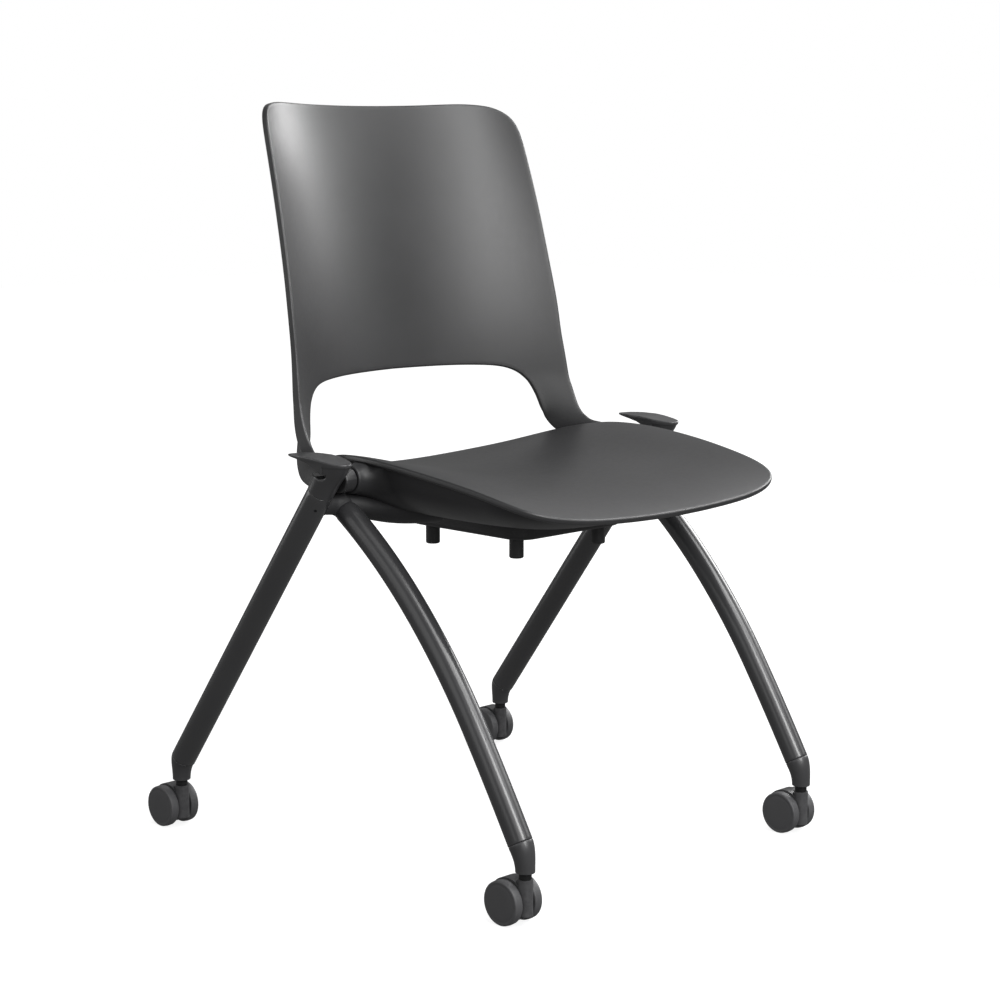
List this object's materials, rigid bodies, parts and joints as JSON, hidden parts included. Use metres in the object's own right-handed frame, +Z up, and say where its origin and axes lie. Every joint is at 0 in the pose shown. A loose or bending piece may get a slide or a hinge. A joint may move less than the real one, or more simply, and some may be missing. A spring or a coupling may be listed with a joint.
{
  "type": "nesting chair",
  "caption": "Armless moulded chair on castors with a tip-up seat, splayed curved front legs and straight rear legs, shaped to nest into another chair",
  "frame": {"origin": "on the floor at the centre of the footprint, the bottom centre of the bounding box", "axes": "+Z up, the chair faces -Y, +X is the sitter's left, symmetric about X = 0"},
  "size_m": [0.588, 0.6044, 0.8717],
  "materials": {
    "tube_coat": "fine satin powder coat, charcoal black",
    "casting_coat": "satin powder coat over casting, charcoal black",
    "shell_plastic": "fine moulded texture, satin charcoal",
    "cover_plastic": "moulded texture, matte charcoal",
    "castor_plastic": "satin moulded nylon",
    "wheel_plastic": "matte moulded wheel with soft shoulder",
    "rubber_black": "matte rubber",
    "bush_nylon": "smooth nylon",
    "pin_steel": "turned steel",
    "screw_black": "blackened steel"
  },
  "bodies": {
    "frame": {"rear_leg_right": "tube_coat", "front_leg_right": "tube_coat", "leg_junction_right": "casting_coat", "cross_arm_right": "tube_coat", "handle_cap_right": "casting_coat", "seat_pivot_pin_right": "pin_steel", "leg_socket_front_right": "casting_coat", "castor_stem_front_right": "pin_steel", "leg_socket_rear_right": "casting_coat", "castor_stem_rear_right": "pin_steel", "rear_leg_left": "tube_coat", "front_leg_left": "tube_coat", "leg_junction_left": "casting_coat", "cross_arm_left": "tube_coat", "handle_cap_left": "casting_coat", "seat_pivot_pin_left": "pin_steel", "leg_socket_front_left": "casting_coat", "castor_stem_front_left": "pin_steel", "leg_socket_rear_left": "casting_coat", "castor_stem_rear_left": "pin_steel", "cross_rod": "pin_steel", "rod_bumpers": "rubber_black", "back_shell": "shell_plastic", "ear_discs": "shell_plastic", "leg_set_screws": "screw_black"},
    "seat": {"pivot_bracket_right": "casting_coat", "pivot_bush_right": "bush_nylon", "pivot_bracket_left": "casting_coat", "pivot_bush_left": "bush_nylon", "seat_shell": "shell_plastic", "seat_under_cover": "cover_plastic", "seat_tray": "cover_plastic", "nesting_pegs": "rubber_black", "tray_screws": "screw_black"},
    "castor_front_right": {"castor_housing_front_right": "castor_plastic", "castor_axle_front_right": "pin_steel"},
    "wheel_front_right_inner": {"castor_wheel_front_right_inner": "wheel_plastic"},
    "wheel_front_right_outer": {"castor_wheel_front_right_outer": "wheel_plastic"},
    "castor_front_left": {"castor_housing_front_left": "castor_plastic", "castor_axle_front_left": "pin_steel"},
    "wheel_front_left_inner": {"castor_wheel_front_left_inner": "wheel_plastic"},
    "wheel_front_left_outer": {"castor_wheel_front_left_outer": "wheel_plastic"},
    "castor_rear_right": {"castor_housing_rear_right": "castor_plastic", "castor_axle_rear_right": "pin_steel"},
    "wheel_rear_right_inner": {"castor_wheel_rear_right_inner": "wheel_plastic"},
    "wheel_rear_right_outer": {"castor_wheel_rear_right_outer": "wheel_plastic"},
    "castor_rear_left": {"castor_housing_rear_left": "castor_plastic", "castor_axle_rear_left": "pin_steel"},
    "wheel_rear_left_inner": {"castor_wheel_rear_left_inner": "wheel_plastic"},
    "wheel_rear_left_outer": {"castor_wheel_rear_left_outer": "wheel_plastic"}
  },
  "joints": [
    {"name": "seat_tip", "type": "hinge", "parent": "frame", "child": "seat", "pos_m": [0, -0.0194, 0.453], "axis": [-1, 0, 0], "range_deg": [0, 75]},
    {"name": "swivel_front_right", "type": "hinge", "parent": "frame", "child": "castor_front_right", "pos_m": [-0.237, -0.2914, 0.045], "axis": [0, 0, 1], "continuous": true},
    {"name": "roll_front_right_inner", "type": "hinge", "parent": "castor_front_right", "child": "wheel_front_right_inner", "pos_m": [-0.237, -0.2732, 0.025], "axis": [1, 0, 0], "continuous": true},
    {"name": "roll_front_right_outer", "type": "hinge", "parent": "castor_front_right", "child": "wheel_front_right_outer", "pos_m": [-0.237, -0.2732, 0.025], "axis": [1, 0, 0], "continuous": true},
    {"name": "swivel_front_left", "type": "hinge", "parent": "frame", "child": "castor_front_left", "pos_m": [0.237, -0.2914, 0.045], "axis": [0, 0, 1], "continuous": true},
    {"name": "roll_front_left_inner", "type": "hinge", "parent": "castor_front_left", "child": "wheel_front_left_inner", "pos_m": [0.237, -0.2732, 0.025], "axis": [1, 0, 0], "continuous": true},
    {"name": "roll_front_left_outer", "type": "hinge", "parent": "castor_front_left", "child": "wheel_front_left_outer", "pos_m": [0.237, -0.2732, 0.025], "axis": [1, 0, 0], "continuous": true},
    {"name": "swivel_rear_right", "type": "hinge", "parent": "frame", "child": "castor_rear_right", "pos_m": [-0.2735, 0.2576, 0.045], "axis": [0, 0, 1], "continuous": true},
    {"name": "roll_rear_right_inner", "type": "hinge", "parent": "castor_rear_right", "child": "wheel_rear_right_inner", "pos_m": [-0.2735, 0.2758, 0.025], "axis": [1, 0, 0], "continuous": true},
    {"name": "roll_rear_right_outer", "type": "hinge", "parent": "castor_rear_right", "child": "wheel_rear_right_outer", "pos_m": [-0.2735, 0.2758, 0.025], "axis": [1, 0, 0], "continuous": true},
    {"name": "swivel_rear_left", "type": "hinge", "parent": "frame", "child": "castor_rear_left", "pos_m": [0.2735, 0.2576, 0.045], "axis": [0, 0, 1], "continuous": true},
    {"name": "roll_rear_left_inner", "type": "hinge", "parent": "castor_rear_left", "child": "wheel_rear_left_inner", "pos_m": [0.2735, 0.2758, 0.025], "axis": [1, 0, 0], "continuous": true},
    {"name": "roll_rear_left_outer", "type": "hinge", "parent": "castor_rear_left", "child": "wheel_rear_left_outer", "pos_m": [0.2735, 0.2758, 0.025], "axis": [1, 0, 0], "continuous": true}
  ]
}
